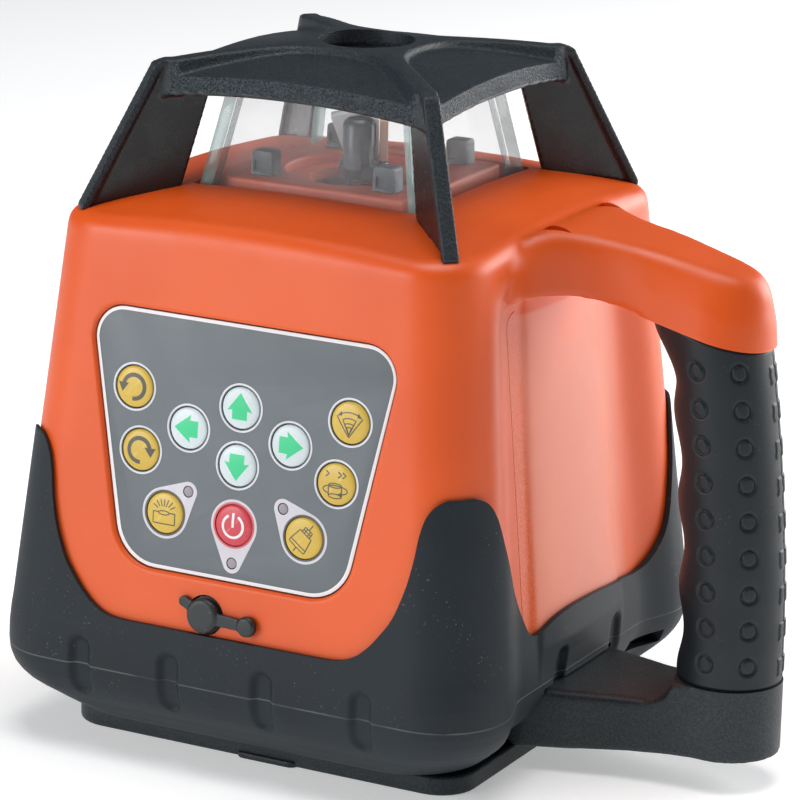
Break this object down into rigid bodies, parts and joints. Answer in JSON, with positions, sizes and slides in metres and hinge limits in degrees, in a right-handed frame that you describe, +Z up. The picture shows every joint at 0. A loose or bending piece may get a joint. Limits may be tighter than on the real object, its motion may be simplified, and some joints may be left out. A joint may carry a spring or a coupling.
{
  "type": "rotating laser level",
  "caption": "Self-levelling rotating laser level: orange case in a rubber boot, side carrying handle, keypad, and a glazed rotor head under a four-finned guard cage.",
  "frame": {"origin": "centre of the whole object's footprint box, on the surface it stands on; the rotor's axis stands at x = -27.7 mm", "axes": "+X from the rotor towards the carrying handle, -Y the keypad side, +Z up along the rotor's axis"},
  "size_m": [0.2094, 0.154, 0.1951],
  "materials": {
    "housing_orange": "satin moulded plastic with a very fine grain",
    "boot_rubber": "matt overmoulded rubber",
    "black_plastic": "textured charcoal plastic",
    "grey_plastic": "dark grey plastic",
    "keypad_overlay": "grey printed film with a white border",
    "key_yellow": "yellow key with a dark symbol",
    "key_white": "white key with a green arrow",
    "key_red": "red key with a white symbol",
    "lamp_lens": "pale diffusing lens",
    "clear_glass": "clear, slightly green at the edges",
    "brass": "machined",
    "steel": "machined",
    "aluminium": "cast and machined",
    "circuit_board": "green solder mask",
    "battery_wrap": "blue shrink wrap"
  },
  "bodies": {
    "casing": {"main_housing": "housing_orange", "rubber_boot": "boot_rubber", "lower_chassis": "black_plastic", "base_plate": "black_plastic", "tripod_thread_insert": "brass", "handle_grip": "boot_rubber", "handle_core": "black_plastic", "lighthouse_cage": "black_plastic", "window_front": "clear_glass", "window_right": "clear_glass", "window_back": "clear_glass", "window_left": "clear_glass", "window_gasket": "boot_rubber", "plumb_beam_window": "clear_glass", "window_deck": "housing_orange", "deck_clip_front_left": "grey_plastic", "deck_clip_front_right": "grey_plastic", "deck_clip_back_right": "grey_plastic", "deck_clip_back_left": "grey_plastic", "keypad_panel": "keypad_overlay", "keypad_board": "circuit_board", "led_vertical": "lamp_lens", "led_tilt": "lamp_lens", "led_power": "lamp_lens", "charging_jack": "black_plastic", "battery_pack": "battery_wrap", "gimbal_frame": "aluminium", "main_board": "circuit_board", "roll_lift_motor": "steel", "pitch_lift_motor": "steel"},
    "key_turn_left": {"key_turn_left": "key_yellow"},
    "key_turn_right": {"key_turn_right": "key_yellow"},
    "key_left": {"key_left": "key_white"},
    "key_up": {"key_up": "key_white"},
    "key_down": {"key_down": "key_white"},
    "key_right": {"key_right": "key_white"},
    "key_scan": {"key_scan": "key_yellow"},
    "key_speed": {"key_speed": "key_yellow"},
    "key_vertical": {"key_vertical": "key_yellow"},
    "key_power": {"key_power": "key_red"},
    "key_tilt": {"key_tilt": "key_yellow"},
    "jack_plug": {"jack_plug": "boot_rubber"},
    "battery_door": {"battery_door": "housing_orange"},
    "door_latch": {"door_latch": "black_plastic"},
    "gimbal_ring": {"gimbal_ring": "aluminium"},
    "platform": {"tilt_platform": "aluminium", "upper_bearing": "steel", "lower_bearing": "steel", "laser_barrel": "brass", "head_motor": "steel", "drive_belt": "boot_rubber"},
    "rotor": {"spindle": "steel", "spindle_pulley": "black_plastic", "rotor_head": "grey_plastic", "pentaprism": "clear_glass"},
    "motor_pulley": {"motor_pulley": "black_plastic"},
    "roll_lift_nut": {"roll_lift_nut": "brass"},
    "roll_lift_screw": {"roll_lift_screw": "steel"},
    "pitch_lift_nut": {"pitch_lift_nut": "brass"},
    "pitch_lift_screw": {"pitch_lift_screw": "steel"}
  },
  "joints": [
    {"name": "key_turn_left_press", "type": "slide", "parent": "casing", "child": "key_turn_left", "axis": [0, 0.9956, -0.0936], "range_m": [0, 0.00045], "stiffness_N_per_m": 800},
    {"name": "key_turn_right_press", "type": "slide", "parent": "casing", "child": "key_turn_right", "axis": [0, 0.9956, -0.0936], "range_m": [0, 0.00045], "stiffness_N_per_m": 800},
    {"name": "key_left_press", "type": "slide", "parent": "casing", "child": "key_left", "axis": [0, 0.9956, -0.0936], "range_m": [0, 0.00045], "stiffness_N_per_m": 800},
    {"name": "key_up_press", "type": "slide", "parent": "casing", "child": "key_up", "axis": [0, 0.9956, -0.0936], "range_m": [0, 0.00045], "stiffness_N_per_m": 800},
    {"name": "key_down_press", "type": "slide", "parent": "casing", "child": "key_down", "axis": [0, 0.9956, -0.0936], "range_m": [0, 0.00045], "stiffness_N_per_m": 800},
    {"name": "key_right_press", "type": "slide", "parent": "casing", "child": "key_right", "axis": [0, 0.9956, -0.0936], "range_m": [0, 0.00045], "stiffness_N_per_m": 800},
    {"name": "key_scan_press", "type": "slide", "parent": "casing", "child": "key_scan", "axis": [0, 0.9956, -0.0936], "range_m": [0, 0.00045], "stiffness_N_per_m": 800},
    {"name": "key_speed_press", "type": "slide", "parent": "casing", "child": "key_speed", "axis": [0, 0.9956, -0.0936], "range_m": [0, 0.00045], "stiffness_N_per_m": 800},
    {"name": "key_vertical_press", "type": "slide", "parent": "casing", "child": "key_vertical", "axis": [0, 0.9956, -0.0936], "range_m": [0, 0.00045], "stiffness_N_per_m": 800},
    {"name": "key_power_press", "type": "slide", "parent": "casing", "child": "key_power", "axis": [0, 0.9956, -0.0936], "range_m": [0, 0.00045], "stiffness_N_per_m": 800},
    {"name": "key_tilt_press", "type": "slide", "parent": "casing", "child": "key_tilt", "axis": [0, 0.9956, -0.0936], "range_m": [0, 0.00045], "stiffness_N_per_m": 800},
    {"name": "jack_plug_pull", "type": "hinge", "parent": "casing", "child": "jack_plug", "pos_m": [-0.0419, -0.07428, 0.05017], "axis": [-0.428, -0.0846, -0.8998], "range_deg": [0, 110]},
    {"name": "battery_door_hinge", "type": "hinge", "parent": "casing", "child": "battery_door", "pos_m": [0.018, 0.06984, 0.07388], "axis": [0, 0.0936, -0.9956], "range_deg": [0, 95]},
    {"name": "door_latch_turn", "type": "hinge", "parent": "battery_door", "child": "door_latch", "pos_m": [-0.0637, 0.06984, 0.07388], "axis": [0, 0.9956, 0.0936], "range_deg": [0, 90]},
    {"name": "ring_tilt", "type": "hinge", "parent": "casing", "child": "gimbal_ring", "pos_m": [-0.0277, 0, 0.132], "axis": [1, 0, 0], "range_deg": [-5, 5]},
    {"name": "platform_tilt", "type": "hinge", "parent": "gimbal_ring", "child": "platform", "pos_m": [-0.0277, 0, 0.132], "axis": [0, 1, 0], "range_deg": [-5, 5]},
    {"name": "rotor_spin", "type": "hinge", "parent": "platform", "child": "rotor", "pos_m": [-0.0277, 0, 0.132], "axis": [0, 0, 1], "continuous": true},
    {"name": "motor_spin", "type": "hinge", "parent": "platform", "child": "motor_pulley", "pos_m": [-0.0497, 0, 0.132], "axis": [0, 0, 1], "continuous": true},
    {"name": "roll_lift_travel", "type": "slide", "parent": "casing", "child": "roll_lift_nut", "axis": [0, 0, 1], "range_m": [-0.003, 0.003]},
    {"name": "roll_lift_screw_turn", "type": "hinge", "parent": "casing", "child": "roll_lift_screw", "pos_m": [0.0033, 0, 0.1], "axis": [0, 0, 1], "range_deg": [-500, 500]},
    {"name": "pitch_lift_travel", "type": "slide", "parent": "casing", "child": "pitch_lift_nut", "axis": [0, 0, 1], "range_m": [-0.0045, 0.0045]},
    {"name": "pitch_lift_screw_turn", "type": "hinge", "parent": "casing", "child": "pitch_lift_screw", "pos_m": [-0.0277, -0.048, 0.1], "axis": [0, 0, 1], "range_deg": [-760, 760]}
  ],
  "couplings": [
    {"joint": "motor_spin", "follows": "rotor_spin", "ratio": 2.6667},
    {"joint": "roll_lift_travel", "follows": "platform_tilt", "m_per_rad": -0.031},
    {"joint": "roll_lift_screw_turn", "follows": "platform_tilt", "ratio": -97.389},
    {"joint": "pitch_lift_travel", "follows": "ring_tilt", "m_per_rad": -0.048},
    {"joint": "pitch_lift_screw_turn", "follows": "ring_tilt", "ratio": -150.8}
  ]
}
